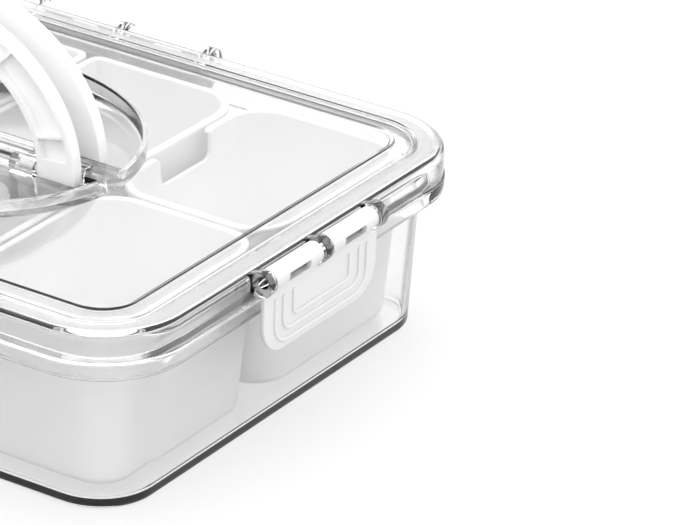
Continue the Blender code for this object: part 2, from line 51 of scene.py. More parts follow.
# ---- driving dimensions, as in the frame -------------------------------------------------------
SKIRT_OFFSET = 4.2 * MM
RIM_OFFSET = 4.8 * MM
_, TUB_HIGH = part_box("tub")
HALF_LENGTH = TUB_HIGH.x - RIM_OFFSET
HALF_WIDTH = TUB_HIGH.y - RIM_OFFSET
CORNER_RADIUS = 33.5 * MM
CORNER_STEPS = 20
FILLET_STEPS = 4
ROD_SEGMENTS = 32
RELIEF_SEGMENTS = 48
BARREL_SEGMENTS = 64
BORE_SEGMENTS = 40
SHARP_ANGLE = 32.0           # degrees, edges sharper than this stay crisp
LID_TOP = 83.0 * MM
SEAM_Z = 69.0 * MM
GAP = 0.3 * MM

TUB_WALL = 2.4 * MM
TUB_FLOOR = 3.0 * MM
TUB_OFFSET_TOP = -5.2 * MM
TUB_OFFSET_BASE = -7.9 * MM
BASE_RADIUS = 2.4 * MM
RIM_BOTTOM = 61.5 * MM
LIP_TOP = 77.0 * MM
LIP_THICKNESS = 2.2 * MM
LIP_STEP = 0.2 * MM
WALL_START = 2.0 * MM        # height above the base radius where the straight wall starts
BASE_STEPS = 10
FLOOR_FILLET = 3.0 * MM
FLOOR_FILLET_TOP = 4.0 * MM
FLOOR_STEPS = 8
UNDER_RIM_FILLET = 1.2 * MM
RIM_FILLET = 2.4 * MM
SEAM_FILLET = 0.8 * MM
LIP_ROOT_FILLET = 0.4 * MM
LIP_FILLET = 0.6 * MM

SKIRT_WALL = 2.2 * MM
SHOULDER = 4.2 * MM
RING_TOP = 82.4 * MM
GROOVE_TOP = 81.6 * MM
GROOVE_OUTER = -8.2 * MM
PANEL_OFFSET = -17.0 * MM
PLATE = 2.2 * MM
CHANNEL_ROOF = 79.8 * MM
TONGUE_OFFSET = -7.6 * MM
TONGUE_BOTTOM = 75.2 * MM
TONGUE_WIDTH = 1.8 * MM
TONGUE_ROOT_WIDTH = 2.0 * MM
PANEL_EDGE = 1.5 * MM        # how far inside the panel's edge its profile starts
PANEL_RUN = 0.4 * MM
RING_RUN = 0.3 * MM
SKIRT_STEP = 0.5 * MM
SKIRT_DRAFT = 0.1 * MM
UNDER_GROOVE_INSET = 1.6 * MM
UNDER_PANEL_INSET = 1.9 * MM
UNDER_PANEL_END = 4.0 * MM
SHOULDER_STEPS = 10
EDGE_FILLET = 0.5 * MM
SMALL_FILLET = 0.4 * MM
THIN_FILLET = 0.3 * MM
RING_FILLET = 0.25 * MM
SEAL_INSET = 2.6 * MM
SEAL_STEPS = 10

RECESS_HALF_LENGTH = 87.0 * MM
RECESS_HALF_WIDTH = 75.0 * MM
RECESS_FLOOR = 76.5 * MM
RECESS_UNDERSIDE = 74.7 * MM
RECESS_WALL = 1.8 * MM
BAR_HALF_WIDTH = 5.0 * MM
RECESS_STEPS = 120
POCKET_SOFTNESS = 0.8 * MM
HOLLOW_SOFTNESS = 0.5 * MM
HOLLOW_END = 12.0 * MM

HANDLE_Y = 9.5 * MM
HANDLE_INWARD = 0.5 * MM
HANDLE_THICKNESS = 5.8 * MM
PIVOT_Z = 80.1 * MM
HANDLE_HALF_LENGTH = 76.0 * MM
HANDLE_RISE = 63.5 * MM
HANDLE_INNER_HALF = 57.0 * MM
HANDLE_INNER_RISE = 47.0 * MM
HANDLE_STEPS = 72
CHANNEL_BORDER = 3.0 * MM
CHANNEL_DEPTH = 3.2 * MM
RIB_ANGLES = (17.0, 53.5, 90.0, 126.5, 163.0)
RIB_THICKNESS = 1.4 * MM
PIN_RADIUS = 1.9 * MM
PIN_LENGTH = 8.0 * MM
PIN_ROOT = 4.0 * MM
PIN_GAP = 0.8 * MM           # from the foot's inner face to the boss
FIRST_RIB_RISE = 6.5 * MM
HANDLE_SOFTNESS = 0.7 * MM
CHANNEL_SOFTNESS = 0.4 * MM
CHANNEL_STEPS = 16
FOOT_STEPS = 24
BOSS_LENGTH = 12.0 * MM
BOSS_RADIUS = 3.9 * MM
BOSS_BORE = 2.25 * MM
BOSS_STEPS = 20
BORE_OVERRUN = 0.5 * MM

LATCH_OFFSET = 8.2 * MM
LATCH_Z = 78.2 * MM
EAR_RADIUS = 5.6 * MM
EAR_THICKNESS = 5.4 * MM
EAR_START = -125.0           # degrees
EAR_SWEEP = 240.0
EAR_STEPS = 32
EAR_FOOT_DROP = 4.6 * MM
EAR_ROOT_INSET = 2.4 * MM
EAR_ROOT_RISE = 3.4 * MM
EAR_SOFTNESS = 0.5 * MM
ROD_RADIUS = 2.4 * MM
BARREL_RADIUS = 4.6 * MM
BARREL_BORE = 2.8 * MM
BARREL_GAP = 0.4 * MM
RELIEF_RADIUS = 5.1 * MM
MOUTH_HEIGHT = 3.6 * MM
NECK_STEP = 0.1 * MM
SHORT_EAR_PITCH = 40.0 * MM
LONG_EAR_PITCH = 45.0 * MM
LONG_SIDE_DROP = 1.8 * MM
PLATE_MARGIN = 0.4 * MM
PLATE_TOP = 71.8 * MM
PLATE_BOTTOM = 45.2 * MM
PLATE_INNER = 7.6 * MM
PLATE_THICKNESS = 2.2 * MM
PLATE_RADIUS = 14.0 * MM
PLATE_STEPS = 18
PLATE_SOFTNESS = 0.6 * MM
BARREL_SOFTNESS = 0.5 * MM
WINDOW_WIDTH = 15.0 * MM
WINDOW_LOW = 75.4 * MM
WINDOW_HIGH = 79.4 * MM
WINDOW_INNER = 0.4 * MM
WINDOW_SOFTNESS = 0.6 * MM
CUT_REACH = 8.0 * MM
RIDGE_INSETS = (7.6 * MM, 13.2 * MM, 20.4 * MM)
RIDGE_RISES = (3.4 * MM, 8.0 * MM, 12.6 * MM)
RIDGE_RADII = (9.0 * MM, 5.5 * MM, 3.0 * MM)
RIDGE_TOP = 68.5 * MM
RIDGE_RADIUS = 0.8 * MM
RIDGE_HEIGHT = 0.8 * MM
RIDGE_ROOT = 0.9 * MM
RIDGE_SOFTNESS = 0.45 * MM
RIDGE_STEPS = 8
SOFT_SEGMENTS = 3
SOFT_ANGLE = 60
HOOK_OFFSET = 5.2 * MM
HOOK_TOP = 60.6 * MM
HOOK_BOTTOM = 57.0 * MM
HOOK_TIP = 1.2 * MM
HOOK_ROOT = 0.5 * MM

BIN_TOP = 74.2 * MM
BIN_BASE = 3.4 * MM
BIN_RADIUS = 20.0 * MM
BIN_TIGHT_RADIUS = 6.0 * MM
BIN_WALL = 1.8 * MM
BIN_LIP = 1.6 * MM
BIN_LIP_HEIGHT = 2.4 * MM
BIN_DRAFT = 3.6 * MM
BIN_BASE_RADIUS = 5.0 * MM
BIN_INNER_RADIUS = 4.0 * MM
BIN_LEAST_RADIUS = 1.5 * MM
BIN_CORNER_STEPS = 14
BIN_BASE_STEPS = 8
BIN_WALL_INSET = 0.02 * MM
BIN_WALL_START = 2.0 * MM
BIN_UNDER_LIP_FILLET = 0.4 * MM
BIN_LIP_FILLET = 0.3 * MM
BIN_OUTER_TOP_FILLET = 0.9 * MM
BIN_INNER_TOP_FILLET = 0.8 * MM
NOTCH_TOP_WIDTH = 40.0 * MM
NOTCH_WIDTH = 29.0 * MM
NOTCH_DEPTH = 13.0 * MM
NOTCH_OVERRUN = 6.0 * MM
NOTCH_FLOOR_STEP = 3.5 * MM
NOTCH_LIP_STEP = 1.5 * MM
NOTCH_FLOOR_FILLET = 4.0 * MM
NOTCH_LIP_FILLET = 2.5 * MM
NOTCH_STEPS = 8
NOTCH_REACH = 8.0 * MM

# ---- looks ---------------------------------------------------------------------------------------
PLASTIC_IOR = 1.49
SILICONE_IOR = 1.41
CLEAR_TINT = (0.98, 0.98, 0.98)
CLEAR_ROUGHNESS = 0.02
# Grain is (scale, bump strength, least roughness, greatest roughness).
CLEAR_GRAIN = (60.0, 0.0, 0.0, 0.03)
SILICONE_TINT = (0.72, 0.72, 0.725)
SILICONE_ROUGHNESS = 0.25
SILICONE_TRANSMISSION = 0.5
SILICONE_GRAIN = (300.0, 0.05, 0.2, 0.3)
# Painted shade on the clear plastic: its colour runs from the tint to grey and near black as a surface turns
# edge on.
PAINTED_SHADE_START = 0.57
PAINTED_SHADE_MIDDLE = 0.70
PAINTED_SHADE_GREY = (0.30, 0.30, 0.305, 1.0)
PAINTED_SHADE_DARK = (0.03, 0.03, 0.032, 1.0)
# Painted shade: the handles' white plastic is set darker than the bins' white, to offset the stronger light
# outside the tub.
HANDLE_WHITE_PAINTED_SHADE = 0.79
# Painted shade: the latches' white plastic is set far darker than the bins' white, to offset the stronger
# light the latches get.
LATCH_WHITE_PAINTED_SHADE = 0.60
BIN_WHITE = 0.95
HARD_ROUGHNESS = 0.35
BIN_ROUGHNESS = 0.45
SCATTER_WEIGHT = 0.15
SCATTER_RADIUS = 0.004
SCATTER_SCALE = 0.5
WHITE_GRAIN_SCALE = 900.0
WHITE_BUMP = 0.05
ROUGHNESS_BELOW = 0.05
ROUGHNESS_ABOVE = 0.08
GRAIN_DETAIL = 3.0
BUMP_DEPTH = 0.1 * MM

FLOOR_HALF = 6.0
FLOOR_BOTTOM = -0.02
FLOOR_TOP = -0.0004
FLOOR_GREY = 0.20
FLOOR_GLOW = 0.70
FLOOR_ROUGHNESS = 0.9
SKY_STRENGTH = 1.8
HORIZON_GREY = 0.85
HORIZON_END = 0.05
OVERHEAD_START = 0.45
SOFTBOX_PLACE = (-0.3, 0.2, 1.7)
SOFTBOX_TARGET = (0.05, 0.0, 0.0)
SOFTBOX_SIZE = 1.6
SOFTBOX_POWER = 14.0
SENSOR_WIDTH = 36.0
LENS = 250.5
CLIP_START = 0.05
CLIP_END = 50.0
CAMERA_PLACE = (1.1203, -1.4639, 0.9144)
CAMERA_AZIMUTH = 32.106      # degrees
CAMERA_ELEVATION = 25.871
CAMERA_ROLL = 2.238

# Outline axes for extrusions: a plate standing along a side, a section across it.
ALONG_SIDE = Matrix(((0, 0, 1, 0), (1, 0, 0, 0), (0, 1, 0, 0), (0, 0, 0, 1)))
ACROSS_SIDE = Matrix(((1, 0, 0, 0), (0, 0, 1, 0), (0, 1, 0, 0), (0, 0, 0, 1)))


# ---- mesh helpers ------------------------------------------------------------------------------
def mesh_object(name, bm):
    bmesh.ops.recalc_face_normals(bm, faces=bm.faces)
    mesh = bpy.data.meshes.new(name)
    bm.to_mesh(mesh)
    bm.free()
    item = bpy.data.objects.new(name, mesh)
    bpy.context.scene.collection.objects.link(item)
    return item


def apply_modifiers(item):
    bpy.context.view_layer.update()
    graph = bpy.context.evaluated_depsgraph_get()
    result = bpy.data.meshes.new_from_object(item.evaluated_get(graph))
    item.modifiers.clear()
    old = item.data
    item.data = result
    bpy.data.meshes.remove(old)


def boolean(target, tool, operation):
    """Apply an exact boolean of tool on target and remove the tool."""
    modifier = target.modifiers.new("cut", "BOOLEAN")
    modifier.operation = operation
    modifier.solver = "EXACT"
    modifier.object = tool
    apply_modifiers(target)
    bpy.data.objects.remove(tool, do_unlink=True)


def soften(item, width, segments=2, angle=40):
    """Round the sharp edges of a fresh shape."""
    modifier = item.modifiers.new("soften", "BEVEL")
    modifier.width = width
    modifier.segments = segments
    modifier.limit_method = "ANGLE"
    modifier.angle_limit = math.radians(angle)
    modifier.use_clamp_overlap = True
    apply_modifiers(item)
    return item


def finish_piece(item, material, body, node):
    item.data.materials.clear()
    item.data.materials.append(material)
    item.data.shade_smooth()
    item.data.set_sharp_from_angle(angle=math.radians(SHARP_ANGLE))
    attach(item, body)
    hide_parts(node)


def rounded_outline(low, high, radii, steps):
    """Points of a rectangle with four corner radii, counter-clockwise from the low-x, low-y corner."""
    centres = (
        (low[0] + radii[0], low[1] + radii[0], math.pi),
        (high[0] - radii[1], low[1] + radii[1], 1.5 * math.pi),
        (high[0] - radii[2], high[1] - radii[2], 0.0),
        (low[0] + radii[3], high[1] - radii[3], 0.5 * math.pi),
    )
    points = []
    for (x, y, start), radius in zip(centres, radii):
        for step in range(steps + 1):
            angle = start + 0.5 * math.pi * step / steps
            points.append((x + radius * math.cos(angle), y + radius * math.sin(angle)))
    return points


def offset_outline(offset):
    """The lid's top edge line moved outward by offset, with concentric corners."""
    half_x = HALF_LENGTH + offset
    half_y = HALF_WIDTH + offset
    radius = CORNER_RADIUS + offset
    return rounded_outline((-half_x, -half_y), (half_x, half_y), (radius,) * 4, CORNER_STEPS)


def loft(name, sections, closed_ring=False):
    """Skin a stack of (outline, z) sections; the ends are capped, or joined for a ring."""
    bm = bmesh.new()
    loops = []
    for outline, z in sections:
        loops.append([bm.verts.new((x, y, z)) for x, y in outline])
    pairs = list(zip(loops, loops[1:]))
    if closed_ring:
        pairs.append((loops[-1], loops[0]))
    for lower, upper in pairs:
        count = len(lower)
        for index in range(count):
            following = (index + 1) % count
            bm.faces.new((lower[index], lower[following], upper[following], upper[index]))
    if not closed_ring:
        bm.faces.new(loops[0])
        bm.faces.new(loops[-1])
    return mesh_object(name, bm)


def offset_stack(profile):
    return [(offset_outline(offset), z) for offset, z in profile]


def arc(centre, radius, start, end, steps):
    """(offset, z) points on an arc; angles in degrees, 0 pointing outward and 90 up."""
    points = []
    for step in range(steps + 1):
        angle = math.radians(start + (end - start) * step / steps)
        points.append((centre[0] + radius * math.cos(angle), centre[1] + radius * math.sin(angle)))
    return points


def rounded_path(corners, steps=FILLET_STEPS):
    """Replace each (u, z, radius) corner of a profile with an arc tangent to both neighbours."""
    points = []
    last = len(corners) - 1
    for index, (u, z, radius) in enumerate(corners):
        if radius <= 0 or index in (0, last):
            points.append((u, z))
            continue
        here = Vector((u, z))
        before = (Vector(corners[index - 1][:2]) - here).normalized()
        after = (Vector(corners[index + 1][:2]) - here).normalized()
        half = before.angle(after) / 2
        reach = radius / math.tan(half)
        centre = here + (before + after).normalized() * (radius / math.sin(half))
        start = here + before * reach - centre
        turn = start.angle_signed(here + after * reach - centre)
        for step in range(steps + 1):
            angle = -turn * step / steps
            cosine, sine = math.cos(angle), math.sin(angle)
            points.append((centre.x + start.x * cosine - start.y * sine,
                           centre.y + start.x * sine + start.y * cosine))
    return points


def box(name, low, high):
    bm = bmesh.new()
    bmesh.ops.create_cube(bm, size=1.0)
    bmesh.ops.scale(bm, vec=Vector(high) - Vector(low), verts=bm.verts)
    bmesh.ops.translate(bm, vec=(Vector(high) + Vector(low)) / 2, verts=bm.verts)
    return mesh_object(name, bm)


def rod(name, start, end, radius, segments):
    start = Vector(start)
    end = Vector(end)
    bm = bmesh.new()
    bmesh.ops.create_cone(
        bm, cap_ends=True, segments=segments, radius1=radius, radius2=radius, depth=(end - start).length)
    turn = Vector((0, 0, 1)).rotation_difference(end - start).to_matrix().to_4x4()
    bmesh.ops.transform(bm, matrix=Matrix.Translation((start + end) / 2) @ turn, verts=bm.verts)
    return mesh_object(name, bm)


def extruded(name, outline, low, high, matrix=Matrix.Identity(4)):
    """Extrude a flat outline from low to high along its own Z, then place it with matrix."""
    bm = bmesh.new()
    face = bm.faces.new([bm.verts.new((x, y, low)) for x, y in outline])
    lifted = bmesh.ops.extrude_face_region(bm, geom=[face])["geom"]
    top = [item for item in lifted if isinstance(item, bmesh.types.BMVert)]
    bmesh.ops.translate(bm, vec=(0, 0, high - low), verts=top)
    bmesh.ops.transform(bm, matrix=matrix, verts=bm.verts)
    return mesh_object(name, bm)


def placed(item, matrix):
    item.data.transform(matrix)
    return item


# ---- materials ---------------------------------------------------------------------------------
def principled(name, colour, roughness):
    material = bpy.data.materials.new(name)
    material.use_nodes = True
    shader = material.node_tree.nodes["Principled BSDF"]
    shader.inputs["Base Color"].default_value = (*colour, 1.0)
    shader.inputs["Roughness"].default_value = roughness
    return material, shader


def add_surface_grain(material, shader, scale, strength, roughness_low, roughness_high):
    """Fine moulding texture: noise drives the roughness and, if strength is not zero, a shallow bump."""
    nodes = material.node_tree.nodes
    links = material.node_tree.links
    place = nodes.new("ShaderNodeTexCoord")
    noise = nodes.new("ShaderNodeTexNoise")
    noise.inputs["Scale"].default_value = scale
    noise.inputs["Detail"].default_value = GRAIN_DETAIL
    links.new(place.outputs["Object"], noise.inputs["Vector"])
    spread = nodes.new("ShaderNodeMapRange")
    spread.inputs["To Min"].default_value = roughness_low
    spread.inputs["To Max"].default_value = roughness_high
    links.new(noise.outputs["Fac"], spread.inputs["Value"])
    links.new(spread.outputs["Result"], shader.inputs["Roughness"])
    if strength == 0.0:
        return
    bump = nodes.new("ShaderNodeBump")
    bump.inputs["Strength"].default_value = strength
    bump.inputs["Distance"].default_value = BUMP_DEPTH
    links.new(noise.outputs["Fac"], bump.inputs["Height"])
    links.new(bump.outputs["Normal"], shader.inputs["Normal"])


def clear_plastic(name, tint):
    """Polished clear plastic with painted shade: its colour turns grey, then near black, where a surface is
    seen edge on.
    """
    material, shader = principled(name, tint, CLEAR_ROUGHNESS)
    shader.inputs["Transmission Weight"].default_value = 1.0
    shader.inputs["IOR"].default_value = PLASTIC_IOR
    add_surface_grain(material, shader, *CLEAR_GRAIN)
    nodes = material.node_tree.nodes
    links = material.node_tree.links
    # Painted shade: the surface's facing darkens the colour to grey and near black on edge-on surfaces,
    # standing in for the dark edges that refraction and reflection give.
    facing = nodes.new("ShaderNodeLayerWeight")
    facing.inputs["Blend"].default_value = 0.5
    ramp = nodes.new("ShaderNodeValToRGB")
    ramp.color_ramp.elements[0].position = PAINTED_SHADE_START
    ramp.color_ramp.elements[0].color = (*tint, 1.0)
    ramp.color_ramp.elements[1].position = 1.0
    ramp.color_ramp.elements[1].color = PAINTED_SHADE_DARK
    middle = ramp.color_ramp.elements.new(PAINTED_SHADE_MIDDLE)
    middle.color = PAINTED_SHADE_GREY
    links.new(facing.outputs["Facing"], ramp.inputs["Fac"])
    links.new(ramp.outputs["Color"], shader.inputs["Base Color"])
    return material


def white_plastic(name, white, roughness):
    """White plastic that scatters a little light under its surface."""
    material, shader = principled(name, (white,) * 3, roughness)
    shader.inputs["IOR"].default_value = PLASTIC_IOR
    shader.inputs["Subsurface Weight"].default_value = SCATTER_WEIGHT
    shader.inputs["Subsurface Radius"].default_value = (SCATTER_RADIUS,) * 3
    shader.inputs["Subsurface Scale"].default_value = SCATTER_SCALE
    add_surface_grain(material, shader, WHITE_GRAIN_SCALE, WHITE_BUMP,
                      roughness - ROUGHNESS_BELOW, roughness + ROUGHNESS_ABOVE)
    return material


def clear_silicone(name):
    """Milky, softer stuff for the seal."""
    material, shader = principled(name, SILICONE_TINT, SILICONE_ROUGHNESS)
    shader.inputs["Transmission Weight"].default_value = SILICONE_TRANSMISSION
    shader.inputs["IOR"].default_value = SILICONE_IOR
    add_surface_grain(material, shader, *SILICONE_GRAIN)
    return material


# ---- tub ---------------------------------------------------------------------------------------
def make_tub(material):
    """Base, outward rim and upstanding lip as one skin, inside and out."""
    lip_outer = TUB_OFFSET_TOP + LIP_STEP
    lip_inner = lip_outer - LIP_THICKNESS
    profile = [(TUB_OFFSET_BASE - BASE_RADIUS, 0.0)]
    profile += arc((TUB_OFFSET_BASE - BASE_RADIUS, BASE_RADIUS), BASE_RADIUS, -85, 0, BASE_STEPS)
    profile += rounded_path([
        (TUB_OFFSET_BASE, BASE_RADIUS + WALL_START, 0),
        (TUB_OFFSET_TOP, RIM_BOTTOM, UNDER_RIM_FILLET),
        (RIM_OFFSET, RIM_BOTTOM, RIM_FILLET),
        (RIM_OFFSET, SEAM_Z, SEAM_FILLET),
        (lip_outer, SEAM_Z, LIP_ROOT_FILLET),
        (lip_outer, LIP_TOP, LIP_FILLET),
        (lip_inner, LIP_TOP, LIP_FILLET),
        (TUB_OFFSET_TOP - TUB_WALL, RIM_BOTTOM, 0),
        (TUB_OFFSET_BASE - TUB_WALL, TUB_FLOOR + FLOOR_FILLET_TOP, 0),
    ])
    profile += arc((TUB_OFFSET_BASE - TUB_WALL - FLOOR_FILLET, TUB_FLOOR + FLOOR_FILLET),
                   FLOOR_FILLET, 0, -88, FLOOR_STEPS)
    tub = loft("tub_clear", offset_stack(profile))
    finish_piece(tub, material, "tub", "tub")


# ---- lid ---------------------------------------------------------------------------------------
def latch_frames():
    """Name, ear pitch and placing matrix of each latch: local X runs outward, local Y along the side."""
    frames = []
    for name, turn, reach, pitch, drop in (
            ("right", 0, HALF_LENGTH, SHORT_EAR_PITCH, 0.0),
            ("rear", 90, HALF_WIDTH, LONG_EAR_PITCH, LONG_SIDE_DROP),
            ("left", 180, HALF_LENGTH, SHORT_EAR_PITCH, 0.0),
            ("front", 270, HALF_WIDTH, LONG_EAR_PITCH, LONG_SIDE_DROP)):
        matrix = Matrix.Rotation(math.radians(turn), 4, "Z") @ Matrix.Translation((reach, 0, -drop))
        frames.append((name, pitch, matrix))
    return frames


def lid_plate():
    """Panel, groove, ring, skirt and the channel behind it, without the recess or the latch mounts."""
    inner = SKIRT_OFFSET - SKIRT_WALL
    profile = rounded_path([
        (PANEL_OFFSET - PANEL_EDGE, LID_TOP, 0),
        (PANEL_OFFSET, LID_TOP, EDGE_FILLET),
        (PANEL_OFFSET + PANEL_RUN, GROOVE_TOP, SMALL_FILLET),
        (GROOVE_OUTER, GROOVE_TOP, RING_FILLET),
        (GROOVE_OUTER + RING_RUN, RING_TOP, RING_FILLET),
        (0.0, RING_TOP, 0),
    ])
    profile += arc((0.0, RING_TOP - SHOULDER), SHOULDER, 90, 0, SHOULDER_STEPS)[1:]
    profile += rounded_path([
        (SKIRT_OFFSET, RING_TOP - SHOULDER - SKIRT_STEP, 0),
        (SKIRT_OFFSET + SKIRT_DRAFT, SEAM_Z + GAP, EDGE_FILLET),
        (inner, SEAM_Z + GAP, EDGE_FILLET),
        (inner, CHANNEL_ROOF, EDGE_FILLET),
        (TONGUE_OFFSET, CHANNEL_ROOF, THIN_FILLET),
        (TONGUE_OFFSET, TONGUE_BOTTOM, SMALL_FILLET),
        (TONGUE_OFFSET - TONGUE_WIDTH, TONGUE_BOTTOM, SMALL_FILLET),
        (TONGUE_OFFSET - TONGUE_ROOT_WIDTH, GROOVE_TOP - PLATE, SMALL_FILLET),
        (PANEL_OFFSET - UNDER_GROOVE_INSET, GROOVE_TOP - PLATE, THIN_FILLET),
        (PANEL_OFFSET - UNDER_PANEL_INSET, LID_TOP - PLATE, THIN_FILLET),
        (PANEL_OFFSET - UNDER_PANEL_END, LID_TOP - PLATE, 0),
    ])
    return loft("lid_clear", offset_stack(profile))


def half_ellipse(half_x, half_y, floor_y, side, steps):
    """The part of an ellipse beyond floor_y on one side of the X axis."""
    start = math.asin(floor_y / half_y)
    points = []
    for step in range(steps + 1):
        angle = start + (math.pi - 2 * start) * step / steps
        points.append((half_x * math.cos(angle), side * half_y * math.sin(angle)))
    return points


def cut_recess(lid):
    """Two half-moon pockets with thin floors and walls, either side of a central bar."""
    outer_x = RECESS_HALF_LENGTH + RECESS_WALL
    outer_y = RECESS_HALF_WIDTH + RECESS_WALL
    ring = []
    for step in range(RECESS_STEPS):
        angle = 2 * math.pi * step / RECESS_STEPS
        ring.append((outer_x * math.cos(angle), outer_y * math.sin(angle)))
    boolean(lid, extruded("tray", ring, RECESS_UNDERSIDE, LID_TOP - PLATE / 2), "UNION")
    for side in (-1, 1):
        outline = half_ellipse(RECESS_HALF_LENGTH, RECESS_HALF_WIDTH, BAR_HALF_WIDTH, side, RECESS_STEPS // 2)
        pocket = extruded("pocket", outline, RECESS_FLOOR, LID_TOP + 5 * MM)
        boolean(lid, soften(pocket, POCKET_SOFTNESS), "DIFFERENCE")
    hollow = box("hollow",
                 (-RECESS_HALF_LENGTH + HOLLOW_END, -BAR_HALF_WIDTH + RECESS_WALL, RECESS_UNDERSIDE - MM),
                 (RECESS_HALF_LENGTH - HOLLOW_END, BAR_HALF_WIDTH - RECESS_WALL, LID_TOP - PLATE))
    boolean(lid, soften(hollow, HOLLOW_SOFTNESS), "DIFFERENCE")


def add_bosses(lid):
    """Four lugs on the recess floor, beside the bar, each bored for a handle's stub pin."""
    outline = [(HANDLE_Y + BOSS_RADIUS, RECESS_FLOOR - MM), (HANDLE_Y + BOSS_RADIUS, PIVOT_Z)]
    for step in range(1, BOSS_STEPS):
        angle = math.pi * step / BOSS_STEPS
        outline.append((HANDLE_Y + BOSS_RADIUS * math.cos(angle), PIVOT_Z + BOSS_RADIUS * math.sin(angle)))
    outline += [(HANDLE_Y - BOSS_RADIUS, PIVOT_Z), (BAR_HALF_WIDTH - MM, PIVOT_Z)]
    outline += [(BAR_HALF_WIDTH - MM, RECESS_FLOOR - MM)]
    face_x = HANDLE_INNER_HALF - PIN_GAP
    for side_x in (-1, 1):
        for side_y in (-1, 1):
            axes = Matrix(((0, 0, side_x, 0), (side_y, 0, 0, 0), (0, 1, 0, 0), (0, 0, 0, 1)))
            lug = extruded("lug", outline, face_x - BOSS_LENGTH, face_x, axes)
            boolean(lid, lug, "UNION")
            bore_end = side_x * (face_x - PIN_LENGTH - MM)
            bore = rod("bore", (bore_end, side_y * HANDLE_Y, PIVOT_Z),
                       (side_x * (face_x + BORE_OVERRUN), side_y * HANDLE_Y, PIVOT_Z),
                       BOSS_BORE, ROD_SEGMENTS)
            boolean(lid, bore, "DIFFERENCE")


def add_latch_mounts(lid):
    """Three ears and a moulded rod for each latch, with the skirt relieved behind the barrels."""
    for _, pitch, matrix in latch_frames():
        for side in (-1, 1):
            relief = rod("relief", (LATCH_OFFSET, side * EAR_THICKNESS / 2, LATCH_Z),
                         (LATCH_OFFSET, side * (pitch - EAR_THICKNESS / 2), LATCH_Z),
                         RELIEF_RADIUS, RELIEF_SEGMENTS)
            boolean(lid, placed(relief, matrix), "DIFFERENCE")
        for place in (-pitch, 0, pitch):
            outline = [(SKIRT_OFFSET - MM, LATCH_Z - EAR_FOOT_DROP)]
            for step in range(EAR_STEPS + 1):
                angle = math.radians(EAR_START + EAR_SWEEP * step / EAR_STEPS)
                outline.append((LATCH_OFFSET + EAR_RADIUS * math.cos(angle),
                                LATCH_Z + EAR_RADIUS * math.sin(angle)))
            outline.append((SKIRT_OFFSET - EAR_ROOT_INSET, LATCH_Z + EAR_ROOT_RISE))
            ear = extruded("ear", outline, place - EAR_THICKNESS / 2, place + EAR_THICKNESS / 2, ACROSS_SIDE)
            boolean(lid, placed(soften(ear, EAR_SOFTNESS, SOFT_SEGMENTS), matrix), "UNION")
        for side in (-1, 1):
            bar = rod("bar", (LATCH_OFFSET, side * MM, LATCH_Z),
                      (LATCH_OFFSET, side * (pitch - MM), LATCH_Z), ROD_RADIUS, ROD_SEGMENTS)
            boolean(lid, placed(bar, matrix), "UNION")


def make_lid(material):
    lid = lid_plate()
    cut_recess(lid)
    add_bosses(lid)
    add_latch_mounts(lid)
    finish_piece(lid, material, "lid", "lid")


def make_seal(material):
    """Flat ring with round edges, held off the lid's channel and the tub's lip by GAP."""
    low = LIP_TOP + GAP
    high = CHANNEL_ROOF - GAP
    outer = SKIRT_OFFSET - SKIRT_WALL - SEAL_INSET
    inner = TONGUE_OFFSET + GAP
    middle = (low + high) / 2
    half = (high - low) / 2
    profile = arc((outer - half, middle), half, -90, 90, SEAL_STEPS)
    profile += arc((inner + half, middle), half, 90, 270, SEAL_STEPS)
    seal = loft("seal_ring", offset_stack(profile), closed_ring=True)
    finish_piece(seal, material, "lid", "seal")


# ---- handles -----------------------------------------------------------------------------------
def arch_outline(half_x, rise, inner_x, inner_rise):
    """Half-oval band standing on its two feet, in (x, height above pivot)."""
    foot = HANDLE_THICKNESS / 2
    outer = []
    inner = []
    for step in range(HANDLE_STEPS + 1):
        angle = math.pi * step / HANDLE_STEPS
        outer.append((half_x * math.cos(angle), rise * math.sin(angle)))
        inner.append((inner_x * math.cos(angle), inner_rise * math.sin(angle)))
    outer = [(half_x, -foot)] + outer + [(-half_x, -foot)]
    inner = [(inner_x, -foot)] + inner + [(-inner_x, -foot)]
    return outer + inner[::-1]


def round_foot(handle, side):
    """Round both feet about the pivot axis so that they turn inside the recess."""
    half = HANDLE_THICKNESS / 2
    radius = half + HANDLE_INWARD
    arc_points = []
    for step in range(FOOT_STEPS + 1):
        angle = -math.pi * step / FOOT_STEPS
        arc_points.append((side * HANDLE_INWARD + radius * math.cos(angle), radius * math.sin(angle)))
    outline = [(-half - 2 * MM, 0.0), (-half - 2 * MM, -radius - MM)]
    outline += [(half + 2 * MM, -radius - MM), (half + 2 * MM, 0.0)]
    outline += arc_points
    reach = HANDLE_HALF_LENGTH + 2 * MM
    place = Matrix(((0, 0, 1, 0), (1, 0, 0, side * (HANDLE_Y - HANDLE_INWARD)), (0, 1, 0, PIVOT_Z),
                    (0, 0, 0, 1)))
    boolean(handle, extruded("foot", outline, -reach, reach, place), "DIFFERENCE")


